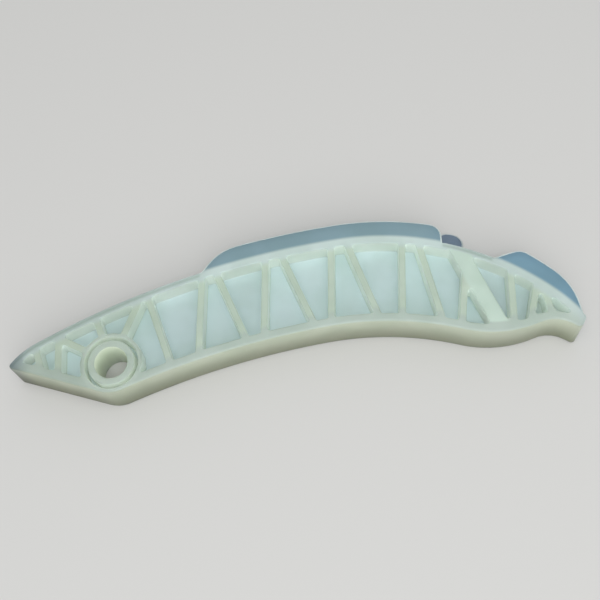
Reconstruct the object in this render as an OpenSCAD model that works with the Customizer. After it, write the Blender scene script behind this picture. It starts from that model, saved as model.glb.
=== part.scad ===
// Timing chain guide: one moulded nylon arm that swings on a pivot at its tail and bears on the chain.
// The pivot axis is Z. The arm lies on its far side on Z = 0, with the chain track along its upper edge.

/* [Body] */
// Width of the arm along the pivot axis
body_w = 14; // [12:0.5:18]
// Thickness of the wall under the chain track
track_wall = 2.4; // [1.8:0.1:3.2]
// Thickness of the wall along the back edge
back_wall = 2.8; // [2:0.1:3.6]
// Thickness of the web at mid width, between the pockets of the two sides
web_t = 2.2; // [1.6:0.1:3.4]
// Radius at the nose of the tail
nose_r = 1; // [0.6:0.1:1.1]
// Radius of the two corners at the toe
toe_r = 1.3; // [0.6:0.1:1.5]

/* [Chain track] */
// Start of the track, behind the pivot
track_x = -31.1; // [-33:0.1:-29]
// Start of the track, above the pivot
track_y = 0.6; // [0:0.1:1]
// Heading of the track at its start, in degrees
track_heading = 54.3; // [52:0.1:56]
// Radius of the bend at the tail
tail_r = 22; // [18:0.5:26]
// Turn of the bend at the tail, in degrees
tail_turn = 24; // [22:0.1:26]
// Radius of the long stretch
track_r1 = 258; // [245:1:275]
// Turn of the long stretch, in degrees
track_turn1 = 22.1; // [20:0.1:24]
// Radius of the crown
track_r2 = 84; // [76:1:92]
// Turn of the crown, in degrees
track_turn2 = 47; // [44:0.5:50]
// Radius of the last stretch, down to the toe
track_r3 = 58; // [48:1:70]
// Turn of the last stretch, in degrees
track_turn3 = 13; // [10:0.5:16]
// Straight run from the track's end to the toe's upper corner
toe_run = 1.2; // [1.1:0.1:3]

/* [Back edge] */
// Heading of the tail's back edge where it meets the pivot boss, in degrees
tail_heading = -15.8; // [-19:0.2:-13]
// Heading of the back edge where it leaves the pivot boss, in degrees
back_heading = 24; // [22:0.2:26]
// Radius of the long first stretch
back_r1 = 258; // [235:1:285]
// Turn of the long first stretch, in degrees
back_turn1 = 14.4; // [12.5:0.1:16]
// Radius of the arch
back_r2 = 97; // [88:1:106]
// Turn of the arch, in degrees
back_turn2 = 24.4; // [22:0.2:26]
// Radius of the tensioner pad
pad_r = 35.5; // [30:0.5:42]
// Turn of the tensioner pad, in degrees
pad_turn = 38; // [34:0.5:42]
// Radius of the notch between the pad and the toe
notch_r = 10; // [8:0.5:13]
// Turn of the notch, in degrees
notch_turn = 54; // [48:0.5:58]
// Straight run from the notch to the toe's lower corner
hook_run = 3.1; // [1.6:0.1:3.8]

/* [Pivot] */
// Diameter of the pivot bore
bore_d = 10; // [8:0.1:11]
// Wall of the sleeve round the bore
sleeve_wall = 2.2; // [1.6:0.1:2.6]
// Width of the ring groove between the sleeve and the boss wall
groove_w = 1.1; // [0.8:0.1:1.5]
// Wall of the boss outside the groove
boss_wall = 1.3; // [1:0.1:2]

/* [Ribs] */
// Thickness of a rib
rib_t = 2.1; // [1.6:0.1:2.6]
// Thickness of the strut that backs the tensioner pad
strut_t = 5.1; // [4:0.1:6]
// Radius in the pockets' corners
pocket_r = 0.7; // [0.4:0.1:0.9]

/* [Guide wings] */
// Thickness of the wings and of the lug
wing_t = 1.6; // [1.2:0.1:2.2]
// Height of the wings above the track
wing_h = 5.5; // [4.8:0.1:6]
// Start of the long wing, measured along the track
wing1_start = 65; // [58:0.2:70]
// Length of the long wing
wing1_l = 77; // [70:0.2:79]
// Start of the short wing, measured along the track
wing2_start = 158.8; // [155:0.2:161]
// Length of the short wing
wing2_l = 31.6; // [28:0.2:32]
// Height of the short wing at its crest
crest_h = 6.1; // [5.2:0.1:6.8]
// Height of the short wing where its slope begins
shoulder_h = 5; // [4.4:0.1:5.6]
// Length of the ramp that rises to the long wing's top
ramp_l = 7; // [5:0.5:10]
// Lean of the long wing's steep end
lean = 1.6; // [0:0.1:2]
// Length of the ramp that rises to the short wing's crest
crest_run = 6; // [4:0.5:8]
// Length of the slope that brings the short wing down to the toe
fall_l = 9; // [8:0.5:14]
// Middle of the lug on the far side, measured along the track
lug_at = 143.8; // [138:0.2:150]
// Width of the lug
lug_w = 8.8; // [7:0.2:11]
// Height of the lug above the track
lug_h = 9.9; // [8:0.1:11]
// Radius of the lug's round top
lug_r = 4; // [2:0.1:4.2]
// Radius that eases the long wing's ramp into its top
ramp_r = 16; // [10:1:20]
// Radius at the top of the long wing's steep end
wing_end_r = 4.4; // [2:0.1:4.5]
// Radius of the short wing's crest
crest_r = 4.5; // [3:0.5:6]
// Radius that eases the short wing into its slope
fall_r = 26; // [16:1:30]

/* [Hidden] */

// Spacing of the points along a curved edge
edge_step = 2;
// Steps in a corner's arc
corner_steps = 5;
// Sides of a drawn circle and of a pocket's fillet, as if each were a full turn
circle_sides = 64;
fillet_sides = 20;
// Room that a cut runs past the surface it starts from
over = 1;
// Depth to which the wings' roots sink into the track's wall
sink = 0.4;
// Reach of the half-planes that close a curved edge into an area
reach = 400;

// Places of the ribs, each as its head under the track and its foot on the back edge,
// in hundredths of the way from the pivot to the toe
brace_at = [
    [-17, -14.3], [-12, -11], [6.4, 13.2], [18.6, 18.6], [21.1, 29.3], [32.4, 32.4], [35.4, 43.6],
    [46.8, 46.7], [49.8, 57.3], [62.3, 61.7], [65.5, 70.5], [76.1, 74], [85.1, 84.9],
    [90.6, 88], [91.2, 93.3]
];
// The pad's strut, as its head and its foot, measured like the ribs
strut_at = [73.8, 82.8];
// Directions of the ribs that run out from the boss, in degrees
spoke_angles = [70, 112, 154];

// Radii of the pivot, from the bore outwards
sleeve_r = bore_d / 2 + sleeve_wall;
groove_r = sleeve_r + groove_w;
boss_r = groove_r + boss_wall;

// Chains of tangent arcs, each arc as its radius and its turn, left turns positive
track_pose = [track_x, track_y, track_heading];
track_arcs = [
    [tail_r, -tail_turn], [track_r1, -track_turn1], [track_r2, -track_turn2], [track_r3, -track_turn3]
];
back_pose = [boss_r * sin(back_heading), -boss_r * cos(back_heading), back_heading];
back_arcs = [[back_r1, -back_turn1], [back_r2, -back_turn2], [pad_r, pad_turn], [notch_r, -notch_turn]];

function along(heading) = [cos(heading), sin(heading)];
function left_of(heading) = [-sin(heading), cos(heading)];
function unit(v) = v / norm(v);
function arc_length(arc) = arc[0] * abs(arc[1]) * PI / 180;
function chain_length(arcs) = [for (arc = arcs) arc_length(arc)] * [for (arc = arcs) 1];

// Place and heading after a run of s along one arc
function on_arc(pose, arc, s) =
    let (side = sign(arc[1]), turn = side * s / arc[0] * 180 / PI)
    let (centre = [pose.x, pose.y] + side * arc[0] * left_of(pose.z))
    let (p = centre - side * arc[0] * left_of(pose.z + turn))
    [p.x, p.y, pose.z + turn];

// Place and heading after a run of s along a chain, the last arc running on past its end
function on_chain(pose, arcs, s, i = 0) =
    i == len(arcs) - 1 || s <= arc_length(arcs[i])
        ? on_arc(pose, arcs[i], s)
        : on_chain(on_arc(pose, arcs[i], arc_length(arcs[i])), arcs, s - arc_length(arcs[i]), i + 1);

// Point beside a chain, off to the left of it
function beside(pose, arcs, s, off) =
    let (p = on_chain(pose, arcs, s)) [p.x, p.y] + off * left_of(p.z);

// Points along a whole chain at a distance to its left, at even steps
function chain_points(pose, arcs, off) =
    let (total = chain_length(arcs), steps = ceil(total / edge_step))
    [for (i = [0 : steps]) beside(pose, arcs, total * i / steps, off)];

function on_track(s, off) = beside(track_pose, track_arcs, s, off);

// Point where two lines cross, each as a point and a heading
function crossing(p, heading_p, q, heading_q) =
    let (d = cross(along(heading_p), along(heading_q)), t = cross(q - p, along(heading_q)) / d)
    p + t * along(heading_p);

// The short way round from one direction to another, in degrees
function short_turn(a, b) = let (d = b - a) d > 180 ? d - 360 : d < -180 ? d + 360 : d;

// Length of the side from a to b that the corner at b may use, half of it if the one at a is round too
function room(a, b) = norm([a.x - b.x, a.y - b.y]) / (a.z > 0 ? 2 : 1);

// A corner at b replaced by an arc that its two sides touch, no larger than they have room for
function round_corner(a, b, c) =
    let (p = [b.x, b.y], u = unit([a.x, a.y] - p), v = unit([c.x, c.y] - p), half = acos(u * v) / 2)
    let (r = min(b.z, min(room(a, b), room(c, b)) * tan(half)))
    let (centre = p + unit(u + v) * r / sin(half))
    let (from = p + u * r / tan(half) - centre, to = p + v * r / tan(half) - centre)
    let (start = atan2(from.y, from.x), sweep = short_turn(start, atan2(to.y, to.x)))
    [for (i = [0 : corner_steps]) centre + r * along(start + sweep * i / corner_steps)];

// Outline with its corners rounded, each point as x, y and radius, the first and last left sharp
function rounded(points) =
    [for (i = [0 : len(points) - 1])
        let (b = points[i])
        each b.z == 0 ? [[b.x, b.y]] : round_corner(points[i - 1], b, points[i + 1])];

// Both edges as points from the tail to the toe
track_length = chain_length(track_arcs);
track_line = chain_points(track_pose, track_arcs, 0);
track_end = on_chain(track_pose, track_arcs, track_length);
back_end = on_chain(back_pose, back_arcs, chain_length(back_arcs));
boss_tail = -boss_r * left_of(tail_heading);
boss_arc = [for (i = [0 : corner_steps])
    -boss_r * left_of(tail_heading + (back_heading - tail_heading) * i / corner_steps)];
nose = crossing([track_x, track_y], track_heading, boss_tail, tail_heading);
toe_top = [track_end.x, track_end.y] + toe_run * along(track_end.z);
toe_foot = [back_end.x, back_end.y] + hook_run * along(back_end.z);
back_line = concat([nose], boss_arc, chain_points(back_pose, back_arcs, 0), [toe_foot]);

// Area between the track and the back edge, each moved in by a wall
module between(track_in, back_in) {
    under = chain_points(track_pose, track_arcs, -track_in);
    first = under[0] - reach * along(track_heading);
    last = under[len(under) - 1] + reach * along(track_end.z);
    round_boss = boss_arc * (1 - back_in / boss_r);
    over_back = concat(round_boss, chain_points(back_pose, back_arcs, back_in));
    tail_out = round_boss[0] - reach * along(tail_heading);
    toe_out = over_back[len(over_back) - 1] + reach * along(back_end.z);
    intersection() {
        polygon(concat([first], under, [last, [-reach, -reach]]));
        polygon(concat([tail_out], over_back, [toe_out, [reach, reach], [-reach, reach]]));
    }
}

// Outline of the whole arm without its wings, which ends where its two edges meet
module outline() {
    toe = rounded([[back_end.x, back_end.y, 0], [toe_foot.x, toe_foot.y, toe_r],
        [toe_top.x, toe_top.y, toe_r], [track_end.x, track_end.y, 0]]);
    tip = rounded([[track_x, track_y, 0], [nose.x, nose.y, nose_r], [boss_tail.x, boss_tail.y, 0]]);
    track_back = [for (i = [len(track_line) - 2 : -1 : 1]) track_line[i]];
    intersection() {
        polygon(concat(boss_arc, chain_points(back_pose, back_arcs, 0), toe, track_back, tip));
        between(0, 0);
    }
}

// Straight bar from one point to another, running a little past both
module bar(a, b, t) {
    run = unit(b - a);
    side = t / 2 * [-run.y, run.x];
    from = a - over * run;
    to = b + over * run;
    polygon([from + side, from - side, to - side, to + side]);
}

// Bar from the track to the back edge, from the places of its head and foot
module brace(at, t) {
    x = at * toe_top.x / 100;
    bar([x[0], lookup(x[0], track_line)], [x[1], lookup(x[1], back_line)], t);
}

// Ribs between the walls, and those that run out from the boss
module ribs() {
    for (at = brace_at) brace(at, rib_t);
    for (a = spoke_angles) bar([0, 0], reach * along(a), rib_t);
}

// Pockets of one side, with the corners between the ribs and walls filleted
module pockets() {
    offset(r = pocket_r, $fn = fillet_sides) offset(delta = -pocket_r) difference() {
        between(track_wall, back_wall);
        ribs();
        brace(strut_at, strut_t);
        circle(boss_r);
    }
}

// A wing or lug from its two ends along the track, the runs of its two slopes,
// and the height and radius of the corner at the top of each slope
module wing(ends, runs, heights, radii) {
    from = ends[0] - runs[0] * sink / heights[0];
    to = ends[1] + runs[1] * sink / heights[1];
    flat = rounded([[from, -sink, 0], [ends[0] + runs[0], heights[0], radii[0]],
        [ends[1] - runs[1], heights[1], radii[1]], [to, -sink, 0]]);
    top = [for (i = [0 : len(flat) - 2])
        let (a = flat[i], b = flat[i + 1], steps = max(1, ceil((b.x - a.x) / edge_step)))
        for (k = [0 : steps - 1]) on_track(a.x + (b.x - a.x) * k / steps, a.y + (b.y - a.y) * k / steps)];
    steps = ceil((to - from) / edge_step);
    root = [for (k = [0 : steps - 1]) on_track(to + (from - to) * k / steps, -sink)];
    linear_extrude(wing_t) polygon(concat(top, root));
}

module wings() {
    translate([0, 0, body_w - wing_t]) {
        wing([wing1_start, wing1_start + wing1_l], [ramp_l, lean], [wing_h, wing_h], [ramp_r, wing_end_r]);
        wing([wing2_start, wing2_start + wing2_l], [crest_run, fall_l],
            [crest_h, shoulder_h], [crest_r, fall_r]);
    }
    wing([lug_at - lug_w / 2, lug_at + lug_w / 2], [0, 0], [lug_h, lug_h], [lug_r, lug_r]);
}

// Recesses of one side, cut down from the rims to the web
module recesses() {
    depth = (body_w - web_t) / 2;
    translate([0, 0, body_w - depth]) {
        linear_extrude(depth + over) pockets();
        difference() {
            cylinder(r = groove_r, h = depth + over, $fn = circle_sides);
            cylinder(r = sleeve_r, h = depth + over, $fn = circle_sides);
        }
    }
}

module guide_arm() {
    color([0.78, 0.84, 0.79]) difference() {
        union() {
            linear_extrude(body_w) outline();
            wings();
        }
        recesses();
        translate([0, 0, body_w]) mirror([0, 0, 1]) recesses();
        translate([0, 0, -over]) cylinder(d = bore_d, h = body_w + 2 * over, $fn = circle_sides);
    }
}

guide_arm();
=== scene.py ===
# %% [markdown]
# # A timing chain guide in natural nylon
# The guide is one injection moulding: a curved arm with a truss of ribs between two walls, a bore to
# swing on, and thin wings that keep the chain on its track. The CAD frame already holds its true shape,
# so this lesson adds what a moulding has besides: soft edges and milky, light-soaked plastic.
# We start by loading the frame and noting its box.

# %% Load the frame
import math
import bmesh
import bpy
from mathutils import Matrix, Vector


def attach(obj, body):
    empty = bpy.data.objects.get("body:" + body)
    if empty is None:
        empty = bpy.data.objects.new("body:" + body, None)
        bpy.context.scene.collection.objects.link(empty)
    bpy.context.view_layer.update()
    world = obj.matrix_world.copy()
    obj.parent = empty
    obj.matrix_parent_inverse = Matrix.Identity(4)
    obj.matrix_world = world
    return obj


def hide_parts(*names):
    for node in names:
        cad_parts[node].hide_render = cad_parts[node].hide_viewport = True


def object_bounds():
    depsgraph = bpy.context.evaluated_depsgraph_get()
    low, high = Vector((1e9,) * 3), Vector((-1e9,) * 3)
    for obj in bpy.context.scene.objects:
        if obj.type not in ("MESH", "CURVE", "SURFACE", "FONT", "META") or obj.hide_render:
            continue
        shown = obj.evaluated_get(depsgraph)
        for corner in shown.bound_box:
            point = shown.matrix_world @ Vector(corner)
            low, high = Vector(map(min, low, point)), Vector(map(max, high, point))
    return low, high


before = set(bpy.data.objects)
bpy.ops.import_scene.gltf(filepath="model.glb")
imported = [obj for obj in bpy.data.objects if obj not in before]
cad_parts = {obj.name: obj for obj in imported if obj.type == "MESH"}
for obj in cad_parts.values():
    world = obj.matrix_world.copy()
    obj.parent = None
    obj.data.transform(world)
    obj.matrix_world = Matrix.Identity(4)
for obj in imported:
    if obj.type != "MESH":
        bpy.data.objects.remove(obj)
cad_low, cad_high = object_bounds()
middle = (cad_low + cad_high) / 2
MM = 0.001
print("CAD box, mm:", [round(v / MM, 1) for v in cad_high - cad_low])

# %% [markdown]
# ## A clean copy of the solid
# A CAD node arrives as loose triangles. Edges can only be rounded where faces share them, so we take
# a copy, weld its corners and dissolve the flat triangles into whole faces. The node itself stays as
# it is.

# %% Weld a copy
FLAT_ANGLE = math.radians(0.3)
WELD = 0.12 * MM


def welded_copy(node):
    """A mesh of the node's surface, with shared corners and whole flat faces."""
    bm = bmesh.new()
    bm.from_mesh(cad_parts[node].data)
    bmesh.ops.remove_doubles(bm, verts=bm.verts, dist=WELD)
    bmesh.ops.dissolve_limit(bm, angle_limit=FLAT_ANGLE, verts=bm.verts, edges=bm.edges)
    mesh = bpy.data.meshes.new("guide_arm_moulded")
    bm.to_mesh(mesh)
    bm.free()
    return mesh


arm = bpy.data.objects.new("guide_arm_moulded", welded_copy("guide_arm"))
bpy.context.scene.collection.objects.link(arm)
print("welded faces:", len(arm.data.polygons))

# %% [markdown]
# ## A socket that does sums
# Two node trees follow, one that measures edges and one that tints the plastic. Trees full of sums get
# long when they are wired by hand. A small class that wraps a socket and answers to plus, minus and
# times lets us write them as plain expressions. One method adds any other node.

# %% Wrap a socket


class Wire:
    """One output of a node tree. Sums on it add Math nodes."""

    def __init__(self, tree, socket):
        self.tree = tree
        self.socket = socket

    def node(self, kind, settings=None, inputs=None, output=0):
        """Any node of the tree: its type, its settings, then values or wires for its sockets."""
        made = self.tree.nodes.new(kind)
        for key, value in (settings or {}).items():
            setattr(made, key, value)
        for key, value in (inputs or {}).items():
            if isinstance(value, Wire):
                self.tree.links.new(value.socket, made.inputs[key])
            else:
                made.inputs[key].default_value = value
        return Wire(self.tree, made.outputs[output])

    def maths(self, operation, other=0.0):
        return self.node("ShaderNodeMath", {"operation": operation}, {0: self, 1: other})

    def vector(self, operation, other=(0, 0, 0), output=0):
        return self.node("ShaderNodeVectorMath", {"operation": operation}, {0: self, 1: other}, output)

    def __add__(self, other):
        return self.maths("ADD", other)

    def __sub__(self, other):
        return self.maths("SUBTRACT", other)

    def __rsub__(self, other):
        return self.node("ShaderNodeMath", {"operation": "SUBTRACT"}, {0: other, 1: self})

    def __mul__(self, other):
        return self.maths("MULTIPLY", other)

    __radd__ = __add__
    __rmul__ = __mul__

    def __abs__(self):
        return self.maths("ABSOLUTE")

    def part(self, axis):
        """One of the three numbers of a vector wire."""
        return self.node("ShaderNodeSeparateXYZ", None, {0: self}, axis)

    def length(self):
        """Length of a vector wire."""
        return self.vector("LENGTH", output="Value")

    def rise(self, low, high):
        """0 below low, 1 above high, with a soft slope between. Low may be above high."""
        sides = {"Value": self, "From Min": low, "From Max": high}
        return self.node("ShaderNodeMapRange", {"interpolation_type": "SMOOTHSTEP"}, sides)

    def mix(self, first, second, blend="MIX"):
        """First where this mask is 0, second where it is 1, as colours."""
        settings = {"data_type": "RGBA", "blend_type": blend}
        return self.node("ShaderNodeMix", settings, {0: self, 6: first, 7: second}, 2)


print("sums can be written as", [name for name in vars(Wire) if name.startswith("__r")])

# %% [markdown]
# ## A tree with named inputs
# The edges of the moulding aren't all equally soft. How soft each one is will be decided by a Geometry
# Nodes tree, because picking edges by hand would be slow and would break when the part changes. The
# tree's sizes are inputs with names, so that they can be changed later on the modifier.

# %% Start the tree
EDGE_SIZES = ("Sharp angle", "Pocket weight", "Wing weight", "Look across", "Look through", "Stand-off")


def tree_with_inputs(name):
    """A Geometry Nodes tree that has its sockets, and a wire for each input by name."""
    tree = bpy.data.node_groups.new(name, "GeometryNodeTree")
    kinds = {"Geometry": "NodeSocketGeometry"}
    kinds.update({size: "NodeSocketFloat" for size in EDGE_SIZES})
    kinds["Material"] = "NodeSocketMaterial"
    for label, kind in kinds.items():
        tree.interface.new_socket(label, in_out="INPUT", socket_type=kind)
    tree.interface.new_socket("Geometry", in_out="OUTPUT", socket_type="NodeSocketGeometry")
    given = {socket.name: Wire(tree, socket) for socket in tree.nodes.new("NodeGroupInput").outputs}
    return tree, given


print("the tree takes", ", ".join(EDGE_SIZES))

# %% [markdown]
# ## Which edges are how soft
# On such a moulding the outer edges are rounded generously, the edges of the thin wings almost fully
# and the rims of the pockets only a little. The tree tells them apart with two rays. The first looks
# level away from the wall: across a pocket it soon meets the opposite wall, so that edge is an inner
# one. The second looks through the plastic, across the arm's width: where it soon comes out again, the
# edge belongs to a thin wing. An edge whose rays meet nothing is an outer edge of the body. The inside
# corners where a wing or the lug stands on the track stay sharp, because their fillets are too small to
# see. The answer is stored as the bevel weight that the Bevel modifier reads.

# %% A tree that weighs the edges


def weigh_edges_tree():
    """Geometry Nodes that store each edge's bevel weight by what its two rays meet."""
    tree, given = tree_with_inputs("weigh_edges")
    solid = given["Geometry"]

    def meets(start, way, reach):
        """Whether a ray meets the solid within its reach."""
        sockets = {"Target Geometry": solid, "Source Position": start, "Ray Direction": way}
        sockets["Ray Length"] = reach
        return solid.node("GeometryNodeRaycast", None, sockets, "Is Hit")

    def store(geometry, kind, name, value):
        """The geometry with a named value on its edges."""
        settings = {"data_type": kind, "domain": "EDGE"}
        sockets = {"Geometry": geometry, "Name": name, "Value": value}
        return solid.node("GeometryNodeStoreNamedAttribute", settings, sockets)

    place = solid.node("GeometryNodeInputPosition")
    facing = solid.node("GeometryNodeInputNormal")
    bend = solid.node("GeometryNodeInputMeshEdgeAngle", output="Signed Angle")
    angle = solid.node("GeometryNodeInputMeshEdgeAngle", output="Unsigned Angle")

    level = facing.vector("MULTIPLY", (1, 1, 0)).vector("NORMALIZE")
    bulge = (bend * facing.part("Z")).maths("SIGN")
    dip = solid.node("ShaderNodeCombineXYZ", None, {"Z": bulge})
    off_wall = level.vector("SUBTRACT", dip).vector("MULTIPLY", given["Stand-off"])
    inner = meets(place.vector("ADD", off_wall), level, given["Look across"])

    through = solid.node("ShaderNodeCombineXYZ", None, {"Z": -1 * facing.part("Z").maths("SIGN")})
    in_wall = facing.vector("MULTIPLY", given["Stand-off"])
    thin = meets(place.vector("SUBTRACT", in_wall), through, given["Look through"])

    choose = {"input_type": "FLOAT"}
    weight = solid.node("GeometryNodeSwitch", choose, {0: inner, 1: 1.0, 2: given["Pocket weight"]})
    weight = solid.node("GeometryNodeSwitch", choose, {0: thin, 1: weight, 2: given["Wing weight"]})
    root = bend.maths("LESS_THAN", -1 * given["Sharp angle"]) * (1 - inner)
    weight = weight * (angle.maths("GREATER_THAN", given["Sharp angle"]) - root)

    weighed = store(solid, "FLOAT", "bevel_weight_edge", weight)
    creased = store(weighed, "BOOLEAN", "sharp_edge", root)
    whole = solid.node("GeometryNodeRealizeInstances", None, {0: creased})
    painted = {"Geometry": whole, "Material": given["Material"]}
    done = solid.node("GeometryNodeSetMaterial", None, painted)
    tree.links.new(done.socket, tree.nodes.new("NodeGroupOutput").inputs[0])
    return tree


edge_tree = weigh_edges_tree()
print("tree nodes:", len(edge_tree.nodes))

# %% [markdown]
# ## The sizes of the roundings
# The weights are shares of the largest rounding. A modifier's input is set by its socket's identifier,
# so a loop looks up the identifier for each name.

# %% Give the tree its sizes
OUTER_ROUND = 0.8 * MM
WING_ROUND = 0.65 * MM
POCKET_ROUND = 0.4 * MM
LOOK_ACROSS = 30 * MM
LOOK_THROUGH = 2 * MM
STAND_OFF = 0.3 * MM
SHARP = math.radians(32)

nylon = bpy.data.materials.new("natural_nylon")
weigh = arm.modifiers.new("weigh_edges", "NODES")
weigh.node_group = edge_tree
asked = {
    "Sharp angle": SHARP,
    "Pocket weight": POCKET_ROUND / OUTER_ROUND,
    "Wing weight": WING_ROUND / OUTER_ROUND,
    "Look across": LOOK_ACROSS,
    "Look through": LOOK_THROUGH,
    "Stand-off": STAND_OFF,
    "Material": nylon,
}
for item in edge_tree.interface.items_tree:
    if item.in_out == "INPUT" and item.name in asked:
        weigh[item.identifier] = asked[item.name]
print("inputs set:", len(asked))

# %% [markdown]
# ## Rounding the edges
# A Bevel modifier rounds each edge by its weight. At the start of a wing it leaves corners that only
# touch, and a Weld modifier joins them, so that the mesh stays one closed shell. Smooth shading alone
# would bend the look of the flat sides towards the rounded edges. A Weighted Normal modifier lets large
# faces decide, so flats stay flat and only the roundings shade. The result is made a plain mesh, which
# stands for the CAD node.

# %% Bevel and settle the normals
ROUND_STEPS = 3
TOUCHING = 0.001 * MM
FLATS_DECIDE = 100

bevel = arm.modifiers.new("round", "BEVEL")
bevel.limit_method = "WEIGHT"
bevel.width = OUTER_ROUND
bevel.segments = ROUND_STEPS
bevel.use_clamp_overlap = False
bevel.loop_slide = False
arm.modifiers.new("weld", "WELD").merge_threshold = TOUCHING
even = arm.modifiers.new("even", "WEIGHTED_NORMAL")
even.weight = FLATS_DECIDE
even.keep_sharp = True
arm.data.shade_smooth()
graph = bpy.context.evaluated_depsgraph_get()
moulded = bpy.data.meshes.new_from_object(arm.evaluated_get(graph), depsgraph=graph)
arm.modifiers.clear()
arm.data = moulded
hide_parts("guide_arm")
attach(arm, "root")
print("moulded faces:", len(moulded.polygons), "materials:", [m.name for m in moulded.materials])

# %% [markdown]
# ## Where a point lies on the arm
# Natural nylon is milky: thin walls look cool and bluish, deep ones warm and a little green. To tint it,
# the material has to know where a point lies, so its tree starts with the point's own coordinates and
# the way its surface faces. Facing up is 1 on level faces and 0 on walls.

# %% Start the material
nylon.use_nodes = True
tree = nylon.node_tree
shader = tree.nodes["Principled BSDF"]
coordinates = tree.nodes.new("ShaderNodeTexCoord")
place = Wire(tree, coordinates.outputs["Object"])
x = place.part("X")
y = place.part("Y")
z = place.part("Z")
flat = place.vector("MULTIPLY", (1, 1, 0))
from_axis = flat.length()
facing_up = abs(Wire(tree, coordinates.outputs["Normal"]).part("Z"))
print("material tree started for", nylon.name)

# %% [markdown]
# ## The two edges as chains of arcs
# How high a point lies over the track, and how far inside the back edge, decides most of its tint. Both
# edges are chains of tangent arcs, whose radii and turns are the part's own, in millimetres and degrees.
# The distance to an arc's centre, less its radius, tells the height over it. A loop walks along each
# chain, finds the centre of each arc and adds the nodes that measure from it. Which arc counts is
# decided by X, as the arcs follow one another from the tail to the toe.

# %% Height over the track and over the back edge
BOSS_R = 9.6
TAIL_HEADING = -15.8
BACK_HEADING = 24.0
ALMOST_STRAIGHT = 4000.0
TAIL_RUN = 30.0
SWITCH_RUN = 0.01 * MM
TRACK_START = (-31.1, 0.6, 54.3)
TRACK_ARCS = [(22, -24), (258, -22.1), (84, -47), (58, -13)]
BACK_ARCS = [
    (ALMOST_STRAIGHT, math.degrees(TAIL_RUN / ALMOST_STRAIGHT)),
    (BOSS_R, BACK_HEADING - TAIL_HEADING),
    (258, -14.4),
    (97, -24.4),
    (35.5, 38),
    (10, -54),
]


def direction(degrees):
    return Vector((math.cos(math.radians(degrees)), math.sin(math.radians(degrees)), 0))


def left_of(degrees):
    return direction(degrees + 90)


def tail_start():
    """Place and heading on the tail's back edge, a run before it meets the boss."""
    at = -BOSS_R * left_of(TAIL_HEADING) - TAIL_RUN * direction(TAIL_HEADING)
    return at.x, at.y, TAIL_HEADING


def height_over(start, arcs):
    """Wire for the distance to the left of a chain of arcs, in metres."""
    at, heading = Vector((start[0], start[1], 0)), start[2]
    height = None
    for radius, turn in arcs:
        left = 1 if turn > 0 else -1
        centre = at + left * radius * left_of(heading)
        here = (radius * MM - flat.vector("DISTANCE", centre * MM, "Value")) * left
        if left > 0:
            here = here.maths("MAXIMUM", y - centre.y * MM)
        if height is None:
            height = here
        else:
            height = height + (here - height) * x.rise(at.x * MM, at.x * MM + SWITCH_RUN)
        at = centre - left * radius * left_of(heading + turn)
        heading += turn
    print("chain ends at", [round(v, 1) for v in at.xy], "heading", round(heading, 1))
    return height


over_track = height_over(TRACK_START, TRACK_ARCS)
over_back = height_over(tail_start(), BACK_ARCS)

# %% [markdown]
# ## Colours and places
# The next cells tint the arm zone by zone. Each zone is a mask from 0 to 1 and a colour, laid over what
# is there already. Three helpers keep this short: one turns screen colours into the linear ones that
# Blender counts in, and two make masks along the arm. Zones melt into each other over about a
# millimetre, as light does inside the plastic.

# %% Helpers for the zones
BLEND = 1.0 * MM
GREY = 128


def srgb(red, green, blue):
    """Linear colour with alpha from 0 to 255 screen values."""
    linear = [((v / 255 + 0.055) / 1.055) ** 2.4 for v in (red, green, blue)]
    return (*linear, 1)


def along(first, last):
    """0 at the first place along X and 1 at the last, in millimetres."""
    return x.rise(first * MM, last * MM)


def stretch(first, last):
    """1 between two places along X in millimetres, 0 beyond them."""
    return x.rise(first * MM - BLEND, first * MM) * x.rise(last * MM + BLEND, last * MM)


print("a middle grey counts as", round(srgb(GREY, GREY, GREY)[0], 3))

# %% [markdown]
# ## Rims
# The flat rims round the pockets come first. The rim along the track is lighter than the one along the
# back. Where no wing stands, a painted shade lies on the track's rounded edge, which turns away from the
# light: a slightly darker line follows the track's edge.

# %% Tint the rims
RIM_BLEND = 4 * MM
EDGE_DEPTH = 1.2 * MM
EDGE_HALF = 0.8 * MM
LONG_WING_X = (26.5, 101.5)
SHORT_WING_X = (117.5, 150.0)
UPPER_RIM = srgb(184, 199, 197)
LOWER_RIM = srgb(172, 186, 178)
TRACK_EDGE_SHADE = srgb(164, 181, 175)

upper_half = (over_back - abs(over_track)).rise(-RIM_BLEND, RIM_BLEND)
no_wing = (1 - stretch(*LONG_WING_X)) * (1 - stretch(*SHORT_WING_X))
# Painted shade: a darker line on the rounded track edge, which turns away from the light.
near_edge = abs(over_track + EDGE_DEPTH).rise(EDGE_HALF, 0) * no_wing
tint = upper_half.mix(LOWER_RIM, UPPER_RIM)
tint = near_edge.mix(tint, TRACK_EDGE_SHADE)
print("nodes with the rims:", len(tree.nodes))

# %% [markdown]
# ## Outer wall
# The wall along the back is the deepest plastic. It is cream at the top, and a painted shade makes it
# darker and more olive towards its foot, where little light reaches it. From the boss to the nose the
# painted shade at its foot is darker still.

# %% Tint the outer wall
WALL_LEAN = (0.9, 0.4)
WALL_SKIN = (1.2 * MM, 0.2 * MM)
TAIL_FOOT_X = (2, -12)
CREAM = srgb(183, 191, 173)
WALL_FOOT_SHADE = srgb(140, 145, 121)
TAIL_FOOT_SHADE = srgb(212, 213, 196)

sideways = facing_up.rise(*WALL_LEAN)
outer_wall = over_back.rise(*WALL_SKIN) * sideways
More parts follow.
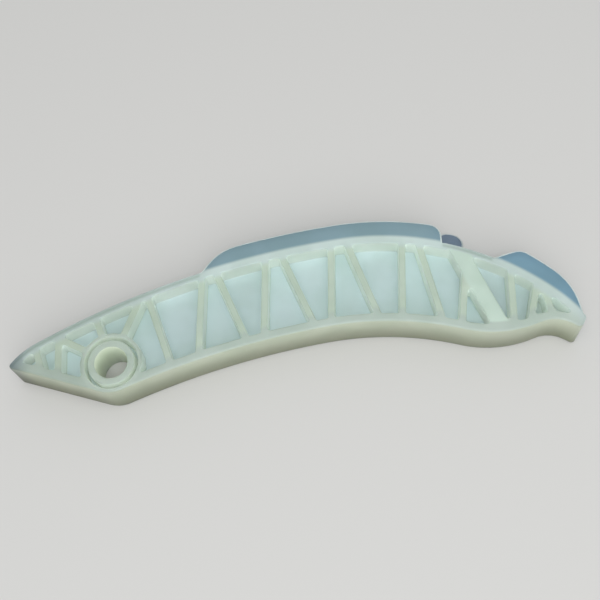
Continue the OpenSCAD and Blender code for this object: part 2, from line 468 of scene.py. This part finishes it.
# Painted shade: the wall darkens towards its foot, and more so at the tail.
depth = z.rise(cad_high.z, 0)
wall_tint_and_shade = (along(*TAIL_FOOT_X) * depth).mix(depth.mix(CREAM, WALL_FOOT_SHADE), TAIL_FOOT_SHADE, "MULTIPLY")
tint = outer_wall.mix(tint, wall_tint_and_shade)
print("nodes with the outer wall:", len(tree.nodes))

# %% [markdown]
# ## Ribs and strut
# The ribs, seen down their depth, are slightly green. The thick strut behind the tensioner's pad is
# nearly white. Its mask is the distance from its middle line, which is a dot product with the direction
# across it.

# %% Tint the ribs and the strut
TRACK_WALL = 2.4 * MM
BACK_WALL = 2.8 * MM
RIB_FADE = 2 * MM
BOSS_BLEND = 0.5
STRUT_HEAD = Vector((106.0, 36.4, 0)) * MM
STRUT_END = Vector((118.9, 7.1, 0)) * MM
STRUT_HALF = 2.55 * MM
RIB = srgb(183, 198, 184)
STRUT = srgb(189, 208, 197)

inside = over_track.rise(BLEND - TRACK_WALL, -TRACK_WALL) * over_back.rise(BACK_WALL - BLEND, BACK_WALL)
deep_under = over_track.rise(-TRACK_WALL, -TRACK_WALL - RIB_FADE)
between = deep_under * over_back.rise(BACK_WALL, BACK_WALL + RIB_FADE)
boss = from_axis.rise((BOSS_R + BOSS_BLEND) * MM, (BOSS_R - BOSS_BLEND) * MM)
tint = (between * (1 - boss)).mix(tint, RIB)
across = (STRUT_END - STRUT_HEAD).normalized().cross(Vector((0, 0, 1)))
from_strut = abs(flat.vector("SUBTRACT", STRUT_HEAD).vector("DOT_PRODUCT", across, "Value"))
strut = from_strut.rise(STRUT_HALF + BLEND, STRUT_HALF - BLEND / 2) * inside
tint = strut.mix(tint, STRUT)
print("nodes with the ribs:", len(tree.nodes))

# %% [markdown]
# ## Boss and tail
# The boss round the bore has a tint of its own. Towards the tail the arm gets narrow and gets less light,
# so a painted shade makes everything there a little darker.

# %% Tint the boss and shade the tail
TAIL_X = (30, -5)
BOSS = srgb(180, 194, 186)
TAIL_SHADE = srgb(236, 236, 234)

tint = (boss * (1 - outer_wall)).mix(tint, BOSS)
# Painted shade over the tail.
tint = along(*TAIL_X).mix(tint, TAIL_SHADE, "MULTIPLY")
print("nodes with the boss:", len(tree.nodes))

# %% [markdown]
# ## Pockets
# The web at the bottom of each pocket is thin and cool. The walls round it are as milky as the ribs, but
# get a
# lighter tint: painted light that offsets the shade in the pockets. The pockets of the tail half and
# those beyond the strut get a painted shade and are slightly darker. The smallest ones, at the toe, are
# mostly wall, so web and walls share one tint there, lifted with painted light so that they don't look
# like dark holes.

# %% Tint the pockets
WEB_RISE = (3 * MM, 1 * MM)
FLOOR_LEAN = (0.4, 0.9)
STEEP_LEAN = (0.5, 0.1)
TAIL_HALF_X = (70, 20)
BEYOND_STRUT_X = (112, 116)
TOE_X = (126, 134)
# Painted light: pocket walls and toe pockets are lighter to offset the shade inside; the pocket shade is
# painted shade.
INNER_WALL_LIGHTENED = srgb(196, 209, 203)
WEB = srgb(193, 213, 215)
POCKET_SHADE = srgb(245, 245, 245)
TOE_POCKET_LIGHTENED = srgb(192, 208, 204)

web = abs(z - middle.z).rise(*WEB_RISE) * facing_up.rise(*FLOOR_LEAN)
pocket_wall = inside * facing_up.rise(*STEEP_LEAN)
shaded = along(*TAIL_HALF_X) + along(*BEYOND_STRUT_X)
pocket_tint = shaded.mix(web.mix(INNER_WALL_LIGHTENED, WEB), POCKET_SHADE, "MULTIPLY")
pocket_tint = along(*TOE_X).mix(pocket_tint, TOE_POCKET_LIGHTENED)
tint = pocket_wall.maths("MAXIMUM", web).mix(tint, pocket_tint)
print("nodes with the pockets:", len(tree.nodes))

# %% [markdown]
# ## Ring groove and bore
# Both are round, so the distance from the pivot's axis is all that their masks need. The bore's wall is
# lighter than the boss: painted light that offsets the shade inside the bore.

# %% Tint the groove and the bore
GROOVE_INNER = 7.2 * MM
GROOVE_OUTER = 8.3 * MM
GROOVE_BLEND = 0.3 * MM
BORE_SKIN = (5.4 * MM, 5.1 * MM)
GROOVE_WALL = srgb(180, 192, 182)
# Painted light: the bore's wall is lighter to offset the shade inside it.
BORE_LIGHTENED = srgb(208, 219, 202)

within = from_axis.rise(GROOVE_OUTER + GROOVE_BLEND, GROOVE_OUTER)
groove = within * from_axis.rise(GROOVE_INNER - GROOVE_BLEND, GROOVE_INNER)
tint = (groove * sideways).mix(tint, GROOVE_WALL)
tint = (from_axis.rise(*BORE_SKIN) * sideways).mix(tint, BORE_LIGHTENED)
print("nodes with the bore:", len(tree.nodes))

# %% [markdown]
# ## Wings and lug
# The wings and the lug are the thinnest plastic, so they are the bluest. Their dark blue is partly
# painted shade, as little light comes through them from behind. Their rounded edges carry a painted
# highlight, which makes them pale. The lug is the one thing over the track that lies on the far side.

# %% Tint the wings and the lug
WING_FOOT = 0.6 * MM
WING_RISE = (-0.6 * MM, 0.8 * MM)
ROUNDED_LEAN = (0.999, 0.96)
BETWEEN_WINGS_X = (95, 115)
# Wing and lug tints are partly painted shade; their rounded edges get a painted highlight.
LONG_WING = srgb(116, 142, 152)
SHORT_WING = srgb(104, 138, 156)
LUG = srgb(115, 134, 154)
WING_EDGE_HIGHLIGHT = srgb(196, 208, 208)

wing = (over_track - WING_FOOT * sideways).rise(*WING_RISE)
wing_tint = along(*BETWEEN_WINGS_X).mix(LONG_WING, SHORT_WING)
wing_tint = z.rise(middle.z, middle.z - BLEND).mix(wing_tint, LUG)
wing_tint = facing_up.rise(*ROUNDED_LEAN).mix(wing_tint, WING_EDGE_HIGHLIGHT)
tint = wing.mix(tint, wing_tint)
print("nodes with the wings:", len(tree.nodes))

# %% [markdown]
# ## Nose and clouds
# The very tip of the tail turns from the light, and a painted shade makes it darker and bluer. Over all
# of it, a slow noise clouds the tint a little and makes the gloss uneven, as on a moulding that has been
# handled.

# %% Shade the nose and cloud the plastic
NOSE_X = (-24, -31)
CLOUDS_PER_METRE = 90.0
CLOUD_DETAIL = 2.0
CLOUD_RANGE = (0.35, 0.65)
LEAST_ROUGH = 0.3
ROUGH_SWING = 0.1
NOSE_SHADE = srgb(194, 198, 208)
CLOUD = srgb(246, 248, 246)

tint = along(*NOSE_X).mix(tint, NOSE_SHADE, "MULTIPLY")
noise = {"Vector": place, "Scale": CLOUDS_PER_METRE, "Detail": CLOUD_DETAIL}
cloud = place.node("ShaderNodeTexNoise", None, noise)
tint = cloud.rise(*CLOUD_RANGE).mix(tint, CLOUD, "MULTIPLY")
tree.links.new(tint.socket, shader.inputs["Base Color"])
roughness = LEAST_ROUGH + ROUGH_SWING * cloud
tree.links.new(roughness.socket, shader.inputs["Roughness"])
print("material nodes:", len(tree.nodes))

# %% [markdown]
# ## Light inside the plastic
# Milky nylon takes light in and gives it back some millimetres away. A random walk is the most exact way
# to do this, but it leaves the corners of narrow pockets dark. The Burley method gathers light from all
# surfaces near a point, also across a pocket, which comes closer to plastic that glows through its ribs.
# The scattering is the same all over, so its values are set on the shader itself.

# %% Let light spread
NYLON_IOR = 1.53
SPREAD = 9 * MM
SPREAD_BY_COLOUR = (1.0, 1.0, 0.9)

shader.subsurface_method = "BURLEY"
shader.inputs["IOR"].default_value = NYLON_IOR
shader.inputs["Subsurface Weight"].default_value = 1.0
shader.inputs["Subsurface Radius"].default_value = SPREAD_BY_COLOUR
shader.inputs["Subsurface Scale"].default_value = SPREAD
print("light spreads over", round(SPREAD / MM, 1), "mm")

# %% [markdown]
# ## Floor
# A product like this is pictured on a plain pale ground. A large matt square will do. It lies a hair
# lower than the arm, so that the two never share a plane.

# %% Floor
FLOOR_HALF = 1.5
FLOOR_DROP = 0.02 * MM
FLOOR_ROUGH = 0.9
FLOOR_SHINE = 0.1
FLOOR = srgb(212, 212, 210)

floor_mesh = bpy.data.meshes.new("floor")
corners = [(FLOOR_HALF * right, FLOOR_HALF * up, 0) for right, up in ((-1, -1), (1, -1), (1, 1), (-1, 1))]
floor_mesh.from_pydata(corners, [], [(0, 1, 2, 3)])
floor = bpy.data.objects.new("floor", floor_mesh)
bpy.context.scene.collection.objects.link(floor)
floor_paint = bpy.data.materials.new("pale_floor")
floor_paint.use_nodes = True
floor_shader = floor_paint.node_tree.nodes["Principled BSDF"]
floor_shader.inputs["Base Color"].default_value = FLOOR
floor_shader.inputs["Roughness"].default_value = FLOOR_ROUGH
floor_shader.inputs["Specular IOR Level"].default_value = FLOOR_SHINE
floor_mesh.materials.append(floor_paint)
floor.location.z = -FLOOR_DROP
print("floor, m:", [round(v, 2) for v in floor.dimensions])

# %% [markdown]
# ## Light
# One large lamp hangs above, so that the shallow pockets are lit to their floors, a weaker one stands in
# front for the walls, and the world fills the shadows. Large lamps give soft shadows.

# %% Lamps and world
KEY_PLACE = Vector((0.05, -0.2, 0.9))
KEY_SIZE = 0.6
KEY_WATTS = 3.3
FRONT_PLACE = Vector((0.15, -0.6, 0.6))
FRONT_SIZE = 0.7
FRONT_WATTS = 2.1
WORLD_STRENGTH = 0.5


def soft_lamp(name, offset, size, watts):
    """A square area lamp at an offset from the arm's middle, which it looks at."""
    data = bpy.data.lights.new(name, "AREA")
    data.size = size
    data.energy = watts
    lamp = bpy.data.objects.new(name, data)
    lamp.location = middle + offset
    lamp.rotation_euler = (-offset).to_track_quat("-Z", "Y").to_euler()
    bpy.context.scene.collection.objects.link(lamp)


soft_lamp("key", KEY_PLACE, KEY_SIZE, KEY_WATTS)
soft_lamp("front", FRONT_PLACE, FRONT_SIZE, FRONT_WATTS)
world = bpy.data.worlds.new("studio")
world.use_nodes = True
world.node_tree.nodes["Background"].inputs["Color"].default_value = (1, 1, 1, 1)
world.node_tree.nodes["Background"].inputs["Strength"].default_value = WORLD_STRENGTH
bpy.context.scene.world = world
bpy.context.scene.view_settings.view_transform = "Standard"
print("lamps:", [lamp.name for lamp in bpy.data.lights])

# %% [markdown]
# ## Camera
# The photograph looks steeply down on the arm. Its perspective was worked out from the bore and the two
# outlines, and gives a place over the arm and three directions, which make the camera's matrix.

# %% Camera
FOCAL_PIXELS = 950
IMAGE_PIXELS = 600
SENSOR = 36.0
NEAREST = 0.01
EYE = Vector((74.8, -97.2, 281.3)) * MM
RIGHT = Vector((0.9979, 0.0, -0.0646))
UP = Vector((0.0257, 0.9174, 0.3970))
BACK = Vector((0.0593, -0.3978, 0.9155))

lens = bpy.data.cameras.new("photo_camera")
lens.sensor_width = SENSOR
lens.lens = FOCAL_PIXELS / IMAGE_PIXELS * SENSOR
lens.clip_start = NEAREST
camera = bpy.data.objects.new("photo_camera", lens)
camera.matrix_world = Matrix.Translation(EYE) @ Matrix((RIGHT, UP, BACK)).transposed().to_4x4()
bpy.context.scene.collection.objects.link(camera)
bpy.context.scene.camera = camera
print("camera stands", round(EYE.z, 3), "m above the floor")

# %% [markdown]
# ## Sizes
# The CAD box, in millimetres, is printed when the frame is loaded.
